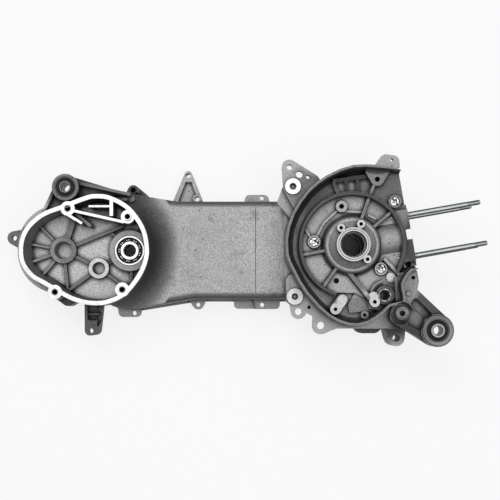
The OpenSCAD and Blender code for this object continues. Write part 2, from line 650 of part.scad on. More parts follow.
// Everything that rises from the floor inside the scroll
module scroll_inside() {
    slab(inner_floor, split_h - 1, wall_top);
    rotate([0, 0, -31])
        rotate_extrude(angle = 282, $fn = 96)
            translate([57, split_h - 1])
                square([3, inner_rim - split_h + 1]);
    // Hub and machined ring
    translate([0, 0, split_h - 1])
        rotate_extrude($fn = 96)
            hub_section(wall_top - split_h + 1);
    for (q = [[-13.9, 18.4], [8.3, 22.6], [15.5, -16.6]]) {
        post(q[0], q[1], 4.4, wall_top, ring_face_h - 1);
        rib([0, 0], q, 5, wall_top, ring_face_h - 1.4);
    }
    // Ribs from the hub to the ring and across the floor
    rib([-28, -5.6], [-58, -11.3], 3.2, wall_top - 1, wall_top + 8);
    rib([-15, -22], [-33.6, -48.4], 3.2, wall_top - 1, wall_top + 8);
    rib([9, 26], [19.4, 55], 3.2, wall_top - 1, wall_top + 8);
    rib([22, 18.8], [45, 38.2], 3.2, wall_top - 1, wall_top + 8);
    rib([-6, -27.6], [20, -60.4], 4.6, wall_top - 1, wall_top + 7.6);
    rib([36, -15], [53.4, -33.4], 3.4, wall_top - 1, wall_top + 7);
    rib([-12, 43.6], [-31.6, 25.6], 2.6, wall_top - 1, wall_top + 3);
    rib([-31.6, 25.6], [-40, 10], 2.6, wall_top - 1, wall_top + 2.8);
    rib([-14, 39], [12, 37.6], 2.6, wall_top - 1, wall_top + 3);
    rib([-47, 9], [-53, 19], 2.4, wall_top - 1, wall_top + 3);
    rib([18, 34.6], [27.4, 29.6], 2.4, wall_top - 1, wall_top + 3);
    // Screw bosses and plain bosses
    for (q = case_screw_at)
        post(q[0], q[1], 7.2, scroll_floor - 1, wall_top + 4);
    post(-12, 43.8, 6.5, scroll_floor - 1, wall_top + 7);
    post(44.4, -36.4, 5.6, scroll_floor, wall_top + 3);
    post(14.8, -78.8, 4.6, scroll_floor - 1, wall_top);
    // Air outlet towards the cylinder
    slab([[22, 56], [36, 47], [48, 36], [68, 34], [54.6, 84], [38, 86], [24, 80]], split_h - 1, wall_top - 1);
    slab(belt([[28.3, 74.4, 7.4], [38, 84, 4], [20, 84, 5]]), scroll_floor, wall_top + 7);
    rib([25.6, 70], [20.6, 58], 3, scroll_floor, wall_top + 6.6);
    for (q = [[-16.8, -20.4, 72], [-5, -6.4, 73], [7.6, 6.6, 76]])
        rib([q[0] * 0.9, 58], [q[1], q[2] + 1], 3.6, scroll_floor - 1, wall_top - 0.6);
    rib([-21, 73.4], [22, 79.4], 4, scroll_floor - 1, wall_top);
    // Step and machined pads below the hub
    slab([[-4, -67.5], [-2.4, -76.6], [14, -74.8], [20.4, -73.4], [20, -60], [4, -53]], scroll_floor - 1, scroll_floor + 3);
    slab(belt([[-11.3, -61.3, 5.9], [-19, -72.3, 6.1]]), scroll_floor - 1, wall_top + 8);
    slab(belt([[23.8, -57.8, 5.4], [25.4, -64, 6.1]]), scroll_floor - 1, wall_top + 8);
    // Starter shaft boss with its raised rim
    post(37, -56.3, 10.6, scroll_floor - 1, wall_top + 6);
    translate([37, -56.3, 0])
        rotate([0, 0, 96])
            rotate_extrude(angle = 88)
                translate([14.6, scroll_floor])
                    square([2.4, wall_top + 5 - scroll_floor]);
    rib([49.4, -36], [50.6, -63], 2.8, scroll_floor - 1, wall_top + 5);
}

// Upper half of the cylinder seat
module cylinder_seat() {
    intersection() {
        along_cylinder()
            translate([0, 0, 30])
                cylinder(r = chamber_hi - split_h + 10.8, h = cylinder_face - 32, $fn = 96);
        translate([0, -60, split_h - 1])
            cube([90, 120, 60]);
    }
    cylinder_block(54, cylinder_face, 35, split_h - 2, wall_top + 1);
    cylinder_block(55, cylinder_face, stud_spacing / 2 + 6, split_h - 1, wall_top + 5);
}

// Scroll, plates and arm with everything inside the scroll
module flywheel_body() {
    difference() {
        union() {
            slab(scroll_at(0, 0), split_h - 1, scroll_rim);
            flywheel_plate();
            mount_arm();
        }
        skin([0, 0],
            [scroll_at(9, 12), scroll_at(6, 12), scroll_at(4.2, 12), scroll_at(3, 12), scroll_at(2.6, 12)],
            [scroll_floor, scroll_floor + 2.4, scroll_floor + 7, scroll_floor + 14, scroll_rim + 1]);
        arm_pockets();
    }
    intersection() {
        scroll_inside();
        slab(scroll_at(0.6, 0), 0, ring_face_h + 1);
    }
}

module flywheel_side_case() {
    color(CAST) from_ring()
        difference() {
            union() {
                difference() {
                    flywheel_body();
                    cylinder_block(25, cylinder_face + 9, 27, split_h - 2, chamber_hi + 4);
                }
                difference() {
                    cylinder_seat();
                    skirt_hole();
                }
            }
            flywheel_cuts();
        }
}

module flywheel_cuts() {
    // Joint face
    translate([-130, -130, joint_hi - 30])
        cube([270, 260, 30]);
    // Crank chamber, main bearing seat and seal bore
    post(0, 0, chamber_r, split_h - 1, chamber_hi);
    post(0, 0, main_seat_d / 2, chamber_hi - 1, chamber_hi + 14);
    post(0, 0, seal_bore_d / 2 - 2, chamber_hi, ring_face_h + 1);
    post(0, 0, seal_bore_d / 2, ring_face_h - 10, ring_face_h + 1);
    difference() {
        post(0, 0, 17.4, ring_face_h - 1.4, ring_face_h + 1);
        post(0, 0, 16.3, ring_face_h - 2, ring_face_h + 2);
    }
    // Hollow between the chamber and the scroll, seen from the joint
    difference() {
        slab([for (a = [100:10:250]) 66 * [cos(a), sin(a)]], split_h - 1, scroll_floor - 5);
        post(0, 0, chamber_r + 8, 0, 200);
        for (q = case_screw_at)
            post(q[0], q[1], 8, 0, 200);
        for (a = [125:25:225])
            rotate([0, 0, a])
                rib([40, 0], [70, 0], 4, 0, 200);
    }
    // Studs and the machined notch above them
    stud_holes();
    rotate([0, 0, cylinder_tilt])
        translate([62.6, -4.6, wall_top + 2.6])
            cube([20, 13, 20]);
    rotate([0, 0, cylinder_tilt])
        translate([cylinder_face, -60, 0])
            cube([30, 140, 200]);
    // Case screws with head seats
    for (q = case_screw_at) {
        post(q[0], q[1], 3.3, split_h - 1, ring_face_h);
        post(q[0], q[1], 5.4, wall_top - 2, ring_face_h);
    }
    for (q = dowel_at) {
        post(q[0], q[1], 4.4, split_h - 1, split_h + 6);
        post(q[0], q[1], 3.4, split_h, plate_top + 3);
    }
    // Plain and threaded holes
    for (q = [
        [-12, 43.8, 2.8, 84], [28.3, 74.4, 3, 90], [-17.4, -40, 3.2, 88], [64, -21.4, 3.4, 86],
        [-13.9, 18.4, 2.1, 114], [8.3, 22.6, 2.1, 114], [15.5, -16.6, 2.1, 114],
        [-19, -72.3, 2.1, 96], [25.4, -64, 2.2, 96], [14.8, -78.8, 2, 94], [70.2, -36.4, 2.2, 80],
        [64.8, -54.4, 2.2, 88], [58.2, -77, 3.3, 70],
        [-70, 91.2, 3.2, 70], [-58.6, 83, 4, 70], [-48.8, 80, 2.1, 70], [47.8, 99.6, 1.8, 70],
        [-59.6, -75, 4, 70], [-47.4, -70, 2, 70], [-33.8, -91.2, 4.4, 70]
    ])
        post(q[0], q[1], q[2], q[3], ring_face_h);
    // Starter shaft bore
    post(37, -56.3, 7.4, wall_top - 12, ring_face_h);
    post(37, -56.3, 5, split_h + 3, ring_face_h);
    // Engine mount bush
    post(arm_x, arm_y, arm_bush_d / 2, 60, ring_face_h);
}

module case_joint_gasket() {
    color(PAPER) from_ring()
        difference() {
            slab(belt([
                [47, 47.5, 9], [-40, 44, 9], [-52, 4, 7], [-38, -40, 8], [34, -44, 8], [58, -26, 6]
            ]), joint_lo, joint_hi);
            post(0, 0, chamber_r, split_h - 3, split_h + 3);
            rotate([0, 0, cylinder_tilt])
                translate([10, -skirt_bore_d / 2, split_h - 3])
                    cube([100, skirt_bore_d, 6]);
            rotate([0, 0, cylinder_tilt])
                translate([cylinder_face, -60, split_h - 3])
                    cube([30, 120, 6]);
            for (q = case_screw_at)
                post(q[0], q[1], 3.3, split_h - 3, split_h + 3);
        }
}

module case_dowels() {
    color(STEEL) from_ring()
        for (q = dowel_at)
            difference() {
                post(q[0], q[1], 4.4, split_h - 6, split_h + 6);
                post(q[0], q[1], 3.4, split_h - 7, split_h + 7);
            }
}

module case_screws() {
    color(STEEL) from_ring()
        for (q = case_screw_at)
            difference() {
                union() {
                    post(q[0], q[1], 3, split_h - 15, wall_top - 2);
                    post(q[0], q[1], 4.8, wall_top - 2, wall_top + 2.6);
                    post(q[0], q[1], 4, wall_top - 2, wall_top + 3.4);
                }
                translate([q[0], q[1], wall_top + 0.4])
                    cylinder(r = 2.9, h = 5, $fn = 6);
            }
}

module cylinder_studs() {
    color(STEEL) from_ring()
        along_cylinder()
            for (y = [-1, 1], z = [-1, 1])
                translate([z * stud_spacing / 2, y * stud_spacing / 2, cylinder_face]) {
                    translate([0, 0, -20])
                        cylinder(d = stud_root_d, h = 20 + stud_root_h);
                    translate([0, 0, stud_root_h])
                        cylinder(d = stud_d, h = stud_out - 16 - stud_root_h);
                    translate([0, 0, stud_out - 16])
                        cylinder(d = stud_d - 0.5, h = 15);
                    translate([0, 0, stud_out - 1])
                        cylinder(d1 = stud_d - 0.5, d2 = stud_d - 2.2, h = 1);
                }
}

// Bonded bush: steel shell, rubber and steel sleeve
module bush_shell(x, y, d, z0, z1) {
    difference() {
        post(x, y, d / 2, z0, z1);
        post(x, y, d / 2 - 1.3, z0 - 1, z1 + 1);
    }
}

module bush_rubber(x, y, d, sleeve_d, z0, z1) {
    translate([x, y, 0])
        rotate_extrude()
            polygon([
                [sleeve_d / 2, z0 + 1], [d / 2 - 4, z0 + 2.4], [d / 2 - 1.3, z0 + 1],
                [d / 2 - 1.3, z1 - 1], [d / 2 - 4, z1 - 2.4], [sleeve_d / 2, z1 - 1]
            ]);
}

module bush_sleeve(x, y, sleeve_d, z0, z1) {
    translate([x, y, 0])
        rotate_extrude()
            polygon([
                [sleeve_bore_d / 2, z0 + 0.6], [sleeve_bore_d / 2 + 0.6, z0], [sleeve_d / 2, z0],
                [sleeve_d / 2, z1], [sleeve_bore_d / 2 + 0.6, z1], [sleeve_bore_d / 2, z1 - 0.6]
            ]);
}

module shock_bush_shell() {
    color(STEEL) from_ring()
        bush_shell(shock_x, shock_y, shock_bush_d, shock_top - shock_sleeve_l + 2, shock_top - 2);
}

module shock_bush_rubber() {
    color(RUBBER) from_ring()
        bush_rubber(shock_x, shock_y, shock_bush_d, sleeve_bore_d + 2.6, shock_top - shock_sleeve_l + 2, shock_top - 2);
}

module shock_bush_sleeve() {
    color(STEEL) from_ring()
        bush_sleeve(shock_x, shock_y, sleeve_bore_d + 2.6, shock_top - shock_sleeve_l, shock_top);
}

module engine_mount_shell() {
    color(STEEL) from_ring()
        bush_shell(arm_x, arm_y, arm_bush_d, arm_top - arm_sleeve_l + 3, arm_top - 3);
}

module engine_mount_rubber() {
    color(RUBBER) from_ring()
        bush_rubber(arm_x, arm_y, arm_bush_d, sleeve_bore_d + 5.4, arm_top - arm_sleeve_l + 3, arm_top - 3);
}

module engine_mount_sleeve() {
    color(STEEL) from_ring()
        bush_sleeve(arm_x, arm_y, sleeve_bore_d + 5.4, arm_top - arm_sleeve_l, arm_top);
}

// Clutch shaft ball bearing
ball_r = 2.98;
ball_count = 9;
pitch_r = (bearing_d + bearing_bore_d) / 4;
bearing_mid = gear_floor + bearing_w / 2;

module bearing_ring(r_in, r_out) {
    difference() {
        post(0, 0, r_out, -bearing_w / 2, bearing_w / 2);
        post(0, 0, r_in, -bearing_w, bearing_w);
        rotate_extrude($fn = 96)
            translate([pitch_r, 0])
                circle(r = ball_r + 0.03, $fn = 48);
    }
}

module clutch_bearing_outer_ring() {
    color(STEEL) from_ring()
        translate([clutch_x, clutch_y, bearing_mid])
            bearing_ring(pitch_r + 2.1, bearing_d / 2);
}

module clutch_bearing_inner_ring() {
    color(STEEL) from_ring()
        translate([clutch_x, clutch_y, bearing_mid])
            bearing_ring(bearing_bore_d / 2, pitch_r - 2.1);
}

module clutch_bearing_balls() {
    color(STEEL) from_ring()
        translate([clutch_x, clutch_y, bearing_mid])
            for (i = [0:ball_count - 1])
                rotate([0, 0, 360 * i / ball_count])
                    translate([pitch_r, 0, 0])
                        sphere(r = ball_r);
}

module clutch_bearing_cage() {
    color(STEEL) from_ring()
        translate([clutch_x, clutch_y, bearing_mid])
            difference() {
                post(0, 0, pitch_r + 1.1, -4, 4);
                post(0, 0, pitch_r - 1.1, -5, 5);
                for (i = [0:ball_count - 1])
                    rotate([0, 0, 360 * i / ball_count])
                        translate([pitch_r - 3, 0, 0])
                            rotate([0, 90, 0])
                                cylinder(r = ball_r + 0.15, h = 6);
            }
}

module gear_cover_dowel() {
    color(STEEL) from_ring()
        difference() {
            post(gear_dowel_at[0], gear_dowel_at[1], 4.3, gear_rim_h - 7, gear_rim_h + 2.4);
            post(gear_dowel_at[0], gear_dowel_at[1], 3.2, gear_rim_h - 8, gear_rim_h + 4);
        }
}

module clutch_shaft_seal() {
    color(RUBBER) from_ring()
        translate([clutch_x, clutch_y, roof_lo - 10])
            rotate_extrude()
                polygon([[9, 0], [13, 0], [13, 6.6], [8.8, 6.6], [7.6, 4.4], [7.6, 3.6], [9, 3]]);
}

module starter_bush() {
    color(STEEL) from_ring()
        difference() {
            post(37, -56.3, 7.4, wall_top - 12, wall_top + 4.6);
            post(37, -56.3, 6, wall_top - 13, wall_top + 6);
        }
}

transmission_side_case();
flywheel_side_case();
case_joint_gasket();
case_dowels();
case_screws();
cylinder_studs();
shock_bush_shell();
shock_bush_rubber();
shock_bush_sleeve();
engine_mount_shell();
engine_mount_rubber();
engine_mount_sleeve();
clutch_bearing_outer_ring();
clutch_bearing_inner_ring();
clutch_bearing_balls();
clutch_bearing_cage();
gear_cover_dowel();
clutch_shaft_seal();
starter_bush();
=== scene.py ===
import bpy
import math
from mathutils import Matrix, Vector


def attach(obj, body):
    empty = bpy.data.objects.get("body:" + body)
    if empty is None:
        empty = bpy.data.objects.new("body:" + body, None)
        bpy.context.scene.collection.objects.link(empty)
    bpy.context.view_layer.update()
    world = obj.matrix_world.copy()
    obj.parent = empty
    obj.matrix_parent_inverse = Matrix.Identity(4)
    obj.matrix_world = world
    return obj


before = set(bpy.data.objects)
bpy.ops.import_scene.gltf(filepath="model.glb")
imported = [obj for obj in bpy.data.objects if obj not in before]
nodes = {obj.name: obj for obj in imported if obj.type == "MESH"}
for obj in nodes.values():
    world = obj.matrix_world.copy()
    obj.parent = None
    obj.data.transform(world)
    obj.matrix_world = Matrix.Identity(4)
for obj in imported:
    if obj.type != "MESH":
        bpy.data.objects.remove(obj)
bpy.context.scene.view_settings.view_transform = "Standard"
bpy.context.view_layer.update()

MM = 0.001
WHITE = (1, 1, 1, 1)

# Heights, in metres from the ring face
RING_Z = 0.0
EAR_Z = -0.001
GROOVE_Z = -0.0014
PAD_Z = -0.016
NOTCH_Z = -0.0214
OUTLET_Z = -0.0215
WALL_TOP_Z = -0.024
PLATE_Z = -0.026
SCROLL_FLOOR_Z = -0.030
GEAR_RIM_Z = -0.033
DOWEL_SEAT_Z = -0.038
SPLIT_Z = -0.050
COUNTER_Z = -0.055
CAGE_TOP_Z = -0.0565
GEAR_FLOOR_Z = -0.066
FLANGE_Z = -0.128

# Axes and centres, in metres from the crank axis
CRANK = (0.0, 0.0)
CLUTCH = Vector((-0.2556, -0.0039, 0))
GEAR = Vector((-0.2936, -0.0035, 0))
AXLE = Vector((-0.3332, -0.0036, 0))
COUNTER = Vector((-0.2916, -0.0246, 0))
SHOCK = Vector((-0.3269, 0.0675, 0))
STARTER = (0.037, -0.0563)
CHANNEL_Y = -0.0022
DOWEL_SEATS = [Vector((-0.066, 0.069, 0)), Vector((-0.0638, -0.0577, 0))]
# Screw holes of the gear housing rim, whose countersinks stay dark
RIM_HOLES = [Vector((GEAR.x - 0.0304, GEAR.y + 0.0465)), Vector((GEAR.x - 0.045, GEAR.y - 0.0491)),
             Vector((GEAR.x + 0.032, GEAR.y - 0.0463))]
RIM_DOWEL = Vector((GEAR.x + 0.0383, GEAR.y + 0.037))
# Round ends of the two machined pads: centre and radius
PAD_ENDS = [((-0.0187, -0.0726), 0.007), ((-0.0106, -0.0634), 0.007),
            ((0.0249, -0.0644), 0.0062), ((0.0244, -0.0552), 0.0056)]

# Cylinder: lean of its axis in the flat view, distance of its face from the crank axis, how far its studs stand out of
# this face, half their pitch, and their thread
TILT = math.radians(10)
CYLINDER_FACE = 0.0685
STUD_OUT = 0.084
STUD_HALF_PITCH = 0.0235
THREAD_LENGTH = 0.0155
THREAD_RADIUS = 0.00275
THREAD_DEPTH = 0.00024
THREAD_PITCH = 0.001
THREAD_TURNS = 14
# Clutch shaft bearing: circle and number of its balls, and radius of the boss round it
BALL_CIRCLE = 0.0125
BALLS = 9
CLUTCH_BOSS = 0.0243

FACE_BAND = 0.00025    # a machined face is recognised this far above and below its height,
FLAT_LIMIT = 0.97      # and where its normal points up by this share
SINK = 0.0006          # feet and ribs made here reach this far into the solids,
PROUD = 0.00005        # and ribs cover the tops of the plain ones by this much


class Nodes:
    """Short calls for the node tree of a material or of the world."""

    def __init__(self, owner, output="ShaderNodeOutputMaterial"):
        owner.use_nodes = True
        self.owner = owner
        self.tree = owner.node_tree
        self.tree.nodes.clear()
        self.out = self.tree.nodes.new(output)

    def plug(self, socket, value):
        """Link another node's output to a socket, or set the socket's own value."""
        if isinstance(value, bpy.types.NodeSocket):
            self.tree.links.new(value, socket)
        else:
            socket.default_value = value

    def add(self, kind, inputs=None, **props):
        """New node with its settings and inputs."""
        n = self.tree.nodes.new(kind)
        for k, v in props.items():
            setattr(n, k, v)
        for k, v in (inputs or {}).items():
            self.plug(n.inputs[k], v)
        return n

    def math(self, op, *values):
        return self.add("ShaderNodeMath", dict(enumerate(values)), operation=op).outputs[0]

    def ramp(self, fac, stops):
        """Colour ramp of grey tones, each stop a position and a tone."""
        n = self.add("ShaderNodeValToRGB", {0: fac})
        e = n.color_ramp.elements
        while len(e) < len(stops):
            e.new(0.5)
        for i, (p, v) in enumerate(stops):
            e[i].position = p
            e[i].color = (v, v, v, 1)
        return n.outputs[0]

    def mix(self, fac, a, b, blend="MIX"):
        """Two colours blended, each an output or three values."""
        n = self.add("ShaderNodeMix", {0: fac}, data_type="RGBA", blend_type=blend)
        for k, v in ((6, a), (7, b)):
            self.plug(n.inputs[k], (*v, 1) if isinstance(v, tuple) else v)
        return n.outputs[2]

    def noise(self, vec, scale, detail=3.0, rough=0.6):
        inputs = {"Vector": vec, "Scale": scale, "Detail": detail, "Roughness": rough}
        return self.add("ShaderNodeTexNoise", inputs).outputs[0]

    def finish(self, shader):
        self.tree.links.new(shader, self.out.inputs[0])
        return self.owner

    def surface(self, colour, rough, bump, specular, metallic=0.0):
        """Principled surface as the finished material."""
        return self.finish(self.add("ShaderNodeBsdfPrincipled", {
            "Base Color": colour, "Roughness": rough, "Metallic": metallic, "Specular IOR Level": specular,
            "Normal": bump.outputs[0],
        }).outputs[0])


def near(m, value, target):
    """1 where a height is that of a machined face."""
    return m.math("COMPARE", value, target, FACE_BAND)


def reach(m, x, y, centre, rx=1.0, ry=1.0):
    """Distance from a centre in the flat view, in units of rx and ry."""
    dx = m.math("MULTIPLY_ADD", x, 1 / rx, -centre[0] / rx)
    dy = m.math("MULTIPLY_ADD", y, 1 / ry, -centre[1] / ry)
    return m.math("SQRT", m.math("ADD", m.math("MULTIPLY", dx, dx), m.math("MULTIPLY", dy, dy)))


def between(m, value, low, high):
    """1 where a value lies between two limits."""
    return m.math("MULTIPLY", m.math("GREATER_THAN", value, low), m.math("LESS_THAN", value, high))


def faces_mask(m, pos, flat, faces):
    """Tone of the listed machined faces, 0 elsewhere: height, tone, circle's centre, inner and outer radius."""
    x, y, z = pos
    mask = None
    for height, tone, centre, r0, r1 in faces:
        hit = m.math("MULTIPLY", near(m, z, height), tone)
        hit = m.math("MULTIPLY", hit, between(m, reach(m, x, y, centre), r0, r1))
        mask = hit if mask is None else m.math("MAXIMUM", mask, hit)
    return m.math("MULTIPLY", mask, flat)


def spread(m, pos, place):
    """Share of a place: centre, half length, half width, lowest and highest point, amount, and for a place with an
    even tone its inner share."""
    x, y, z = pos
    centre, rx, ry, z0, z1, amount, *inner = place
    stops = [(0.6, amount), (1.0, 0.0)]
    if inner:
        stops = [(inner[0], 0.0), (inner[0] + 0.02, amount), (0.88, amount), (1.0, 0.0)]
    return m.math("MULTIPLY", m.ramp(reach(m, x, y, centre, rx, ry), stops), between(m, z, z0, z1))


def cast_aluminium(name, faces, bare, painted_shade_places, pale, bright_grain_places=()):
    """Sand-cast aluminium. faces lists its machined faces, bare the circles that they leave out, and the next list the
    places darkened with painted shade, as spread() reads them. pale lists places lightened with painted light the same
    way, and the last list places whose grains are made brighter."""
    m = Nodes(bpy.data.materials.new(name))
    coords = m.add("ShaderNodeTexCoord").outputs
    obj = coords["Object"]
    pos = m.add("ShaderNodeSeparateXYZ", {0: obj}).outputs
    x, y, z = pos
    up = m.add("ShaderNodeSeparateXYZ", {0: coords["Normal"]}).outputs[2]
    # Machined faces, and the belt cover flange below
    tone = faces_mask(m, pos, m.math("GREATER_THAN", up, FLAT_LIMIT), faces)
    for centre, r in bare:
        tone = m.math("MULTIPLY", tone, m.math("GREATER_THAN", reach(m, x, y, centre), r))
    flange = m.math("MULTIPLY", near(m, z, FLANGE_Z), m.math("LESS_THAN", up, -FLAT_LIMIT))
    tone = m.math("MAXIMUM", tone, flange)
    cut = m.math("GREATER_THAN", tone, 0.01)
    # Grain of the sand-blasted skin
    grain = m.noise(obj, 950.0, 3.0, 0.75)
    cloud = m.noise(obj, 30.0, 4.0, 0.6)
    pits = m.add("ShaderNodeTexVoronoi", {"Vector": obj, "Scale": 330.0}).outputs[0]
    base = m.mix(m.ramp(grain, [(0.35, 0.0), (0.65, 1.0)]), (0.17, 0.172, 0.176), (0.54, 0.545, 0.55))
    base = m.mix(m.ramp(cloud, [(0.35, 0.0), (0.7, 0.35)]), base, (0.22, 0.223, 0.226))
    # Pin holes and stains
    pins = m.add("ShaderNodeTexVoronoi", {"Vector": obj, "Scale": 80.0}).outputs[0]
    stains = m.noise(obj, 42.0, 3.0, 0.7)
    base = m.mix(1.0, base, m.ramp(pins, [(0.05, 0.3), (0.11, 1.0)]), "MULTIPLY")
    base = m.mix(1.0, base, m.ramp(stains, [(0.6, 1.0), (0.68, 0.72)]), "MULTIPLY")
    # Painted shade: sloping and steep walls are darkened by how far their normal turns away from up
    painted_slope_shade = m.ramp(up, [(0.0, 0.6), (0.05, 0.42), (0.2, 0.22), (0.45, 0.17), (0.75, 0.27), (0.93, 0.5), (0.985, 0.85),
                        (0.998, 1.0)])
    base = m.mix(1.0, base, painted_slope_shade, "MULTIPLY")
    painted_shade_share = 0.0
    # Painted shade: the listed places are darkened towards near black
    for place in painted_shade_places:
        fade = spread(m, pos, place)
        base = m.mix(fade, base, (0.02, 0.0205, 0.021))
        painted_shade_share = m.math("MAXIMUM", painted_shade_share, fade)
    light = m.mix(m.ramp(grain, [(0.36, 0.0), (0.64, 1.0)]), (0.32, 0.323, 0.327), (1.0, 1.0, 1.0))
    # Painted light: the listed places are lightened towards the bright grain tone
    for place in pale:
        base = m.mix(spread(m, pos, place), base, light)
    # The listed places get their grains lightened to a bright tone
    for place in bright_grain_places:
        # The cloud shifts the place's edge by up to 7 mm, so that it isn't an ellipse
        shifted = m.math("MULTIPLY_ADD", cloud, 0.014, m.math("ADD", x, -0.007))
        fade = spread(m, (shifted, y, z), place)
        fade = m.math("MULTIPLY", fade, m.ramp(grain, [(0.42, 0.0), (0.56, 1.0)]))
        base = m.mix(fade, base, (0.8, 0.8, 0.8))
    # Painted shade: dark lines in the corners, from ambient occlusion. Painted highlight, partly edge wear: edges
    # lightened
    ao = m.add("ShaderNodeAmbientOcclusion", {"Distance": 0.0055}, samples=10).outputs["AO"]
    base = m.mix(1.0, base, m.ramp(ao, [(0.28, 0.07), (0.6, 0.34), (0.86, 0.82), (0.98, 1.0)]), "MULTIPLY")
    bevel = m.add("ShaderNodeBevel", {"Radius": 0.0007}, samples=6).outputs[0]
    normal = m.add("ShaderNodeNewGeometry").outputs["Normal"]
    turned = m.add("ShaderNodeVectorMath", {0: bevel, 1: normal}, operation="DOT_PRODUCT").outputs["Value"]
    edge = m.ramp(turned, [(0.8, 1.0), (0.985, 0.0)])
    edge = m.math("MULTIPLY", edge, m.math("GREATER_THAN", ao, 0.78))
    edge = m.math("MULTIPLY", edge, m.math("MULTIPLY_ADD", painted_shade_share, -0.45, 1.0))
    base = m.mix(m.math("MULTIPLY", edge, 0.62), base, (0.75, 0.755, 0.76))
    # Cutter marks on the machined faces
    marks = m.noise(obj, 260.0, 2.0)
    satin = m.mix(m.ramp(marks, [(0.3, 0.0), (0.7, 1.0)]), (0.72, 0.722, 0.725), (1.0, 1.0, 0.995))
    satin = m.mix(1.0, satin, tone, "MULTIPLY")
    # Painted highlight: the edges of the machined faces are lightened too
    satin = m.mix(m.math("MULTIPLY", edge, 0.9), satin, (0.9, 0.9, 0.9))
    colour = m.mix(cut, base, satin)
    height = m.math("ADD", m.math("MULTIPLY", grain, 0.7), m.math("MULTIPLY", pits, 0.3))
    strength = m.math("MULTIPLY_ADD", cut, -0.4, 0.45)
    bump = m.add("ShaderNodeBump", {"Strength": strength, "Distance": 0.0006, "Height": height, "Normal": bevel})
    return m.surface(colour, m.math("MULTIPLY_ADD", cut, -0.12, 0.52), bump, 0.2, 0.3)


def steel(name, dark, light, rough, scale, metallic=0.9, stretch=None, contact=0.006, side=None, ring=None,
          glint=False):
    """Plated, ground or drawn steel with faint streaks of two tones. stretch gives their turn and scale, contact the
    reach of the painted shade in the corners, and side the tone left as painted shade where a rod turns away from the
    top. ring gives a centre and the radii between which a turned face stays bright; outside them it is painted near
    black as shade. glint breaks the tone into spots as painted glints."""
    m = Nodes(bpy.data.materials.new(name))
    coords = m.add("ShaderNodeTexCoord").outputs
    vec = coords["Object"]
    if stretch:
        vec = m.add("ShaderNodeMapping", {0: vec, "Rotation": (0, 0, stretch[0]), "Scale": stretch[1]}).outputs[0]
    streak = m.noise(vec, scale)
    # Painted glints: the streaks are turned into hard bright and dark spots
    if glint:
        streak = m.ramp(streak, [(0.46, 0.0), (0.6, 1.0)])
    colour = m.mix(streak, dark, light)
    # Painted shade: faces that turn away from up are darkened
    if side is not None:
        up = m.add("ShaderNodeSeparateXYZ", {0: coords["Normal"]}).outputs[2]
        colour = m.mix(1.0, colour, m.ramp(up, [(0.3, side), (0.8, side * 1.3), (0.96, 1.0)]), "MULTIPLY")
    # Painted shade: outside the ring's radii the face is painted near black
    if ring:
        x, y, _ = m.add("ShaderNodeSeparateXYZ", {0: coords["Object"]}).outputs
        bright = between(m, reach(m, x, y, ring[0]), ring[1], ring[2])
        colour = m.mix(bright, (0.02, 0.02, 0.02), colour)
    # Painted shade in the corners, from ambient occlusion
    ao = m.add("ShaderNodeAmbientOcclusion", {"Distance": contact}, samples=8).outputs["AO"]
    colour = m.mix(1.0, colour, m.ramp(ao, [(0.1, 0.2), (0.8, 1.0)]), "MULTIPLY")
    bevel = m.add("ShaderNodeBevel", {"Radius": 0.00025}, samples=4).outputs[0]
    bump = m.add("ShaderNodeBump", {"Strength": 0.08, "Distance": 0.0002, "Height": streak, "Normal": bevel})
    return m.surface(colour, m.math("MULTIPLY_ADD", streak, 0.12, rough), bump, 0.25, metallic)


def rubber(name, dark, light):
    """Dull surface with fine grit of two tones, for rubber and paper."""
    m = Nodes(bpy.data.materials.new(name))
    grit = m.noise(m.add("ShaderNodeTexCoord").outputs["Object"], 900.0)
    bump = m.add("ShaderNodeBump", {"Strength": 0.2, "Distance": 0.0003, "Height": grit})
    return m.surface(m.mix(grit, dark, light), 0.6, bump, 0.2)


cast_t = cast_aluminium(
    "cast_transmission",
    [(GEAR_RIM_Z, 0.97, GEAR, 0.0, 0.1), (COUNTER_Z, 0.62, COUNTER, 0.0075, 0.0125)],
    [(SHOCK, 0.0158)] + [(q, 0.0041) for q in RIM_HOLES] + [(RIM_DOWEL, 0.0046)],
    # Places darkened with painted shade
    [
        ((-0.300, 0.068), 0.085, 0.026, -0.08, -0.0335, 0.6),                 # shock absorber bracket
        (SHOCK, 0.03, 0.03, -0.08, -0.032, 0.6),                              # its eye
        ((0.025, -0.090), 0.065, 0.028, -0.105, -0.055, 0.85),                # stand boss and crank room below the arm
        ((-0.3016, -0.086), 0.026, 0.038, -0.13, -0.07, 0.75),                # foot below the gear housing
        ((-0.335, -0.063), 0.02, 0.016, -0.13, -0.06, 0.8),                   # lug at its lower left
        ((CLUTCH.x, 0.070), 0.022, 0.014, -0.13, -0.07, 0.8),                 # screw boss at the bracket's end
        (GEAR, 0.078, 0.070, -0.0655, -0.034, 0.55, 0.0),                     # walls inside the gear housing
        ((-0.400, 0.0120), 0.030, 0.020, -0.13, -0.0345, 0.6, 0.0),           # ear at the far end
        ((-0.240, 0.0), 0.045, 0.075, -0.075, -0.04, 0.3),                    # ramp up to the gear housing
    ],
    # Places lightened with painted light
    [
        ((-0.085, 0.005), 0.055, 0.055, -0.0706, -0.0694, 0.12),              # channel beside the flywheel casting
        (GEAR, 0.078, 0.070, -0.0668, -0.0652, 0.45, 0.0),                    # floor of the gear housing
        (CLUTCH, 0.0255, 0.0255, -0.0668, -0.0545, 0.35, 0.0),                # bearing boss
        (AXLE, 0.0125, 0.0125, -0.09, -0.0668, 0.5),                          # axle seat
        (COUNTER, 0.0085, 0.0085, -0.09, -0.0560, 0.5),                       # countershaft seat
        ((GEAR.x - 0.07, GEAR.y), 0.035, 0.06, -0.0655, -0.035, 0.13),        # drafted wall at the far end
    ],
)
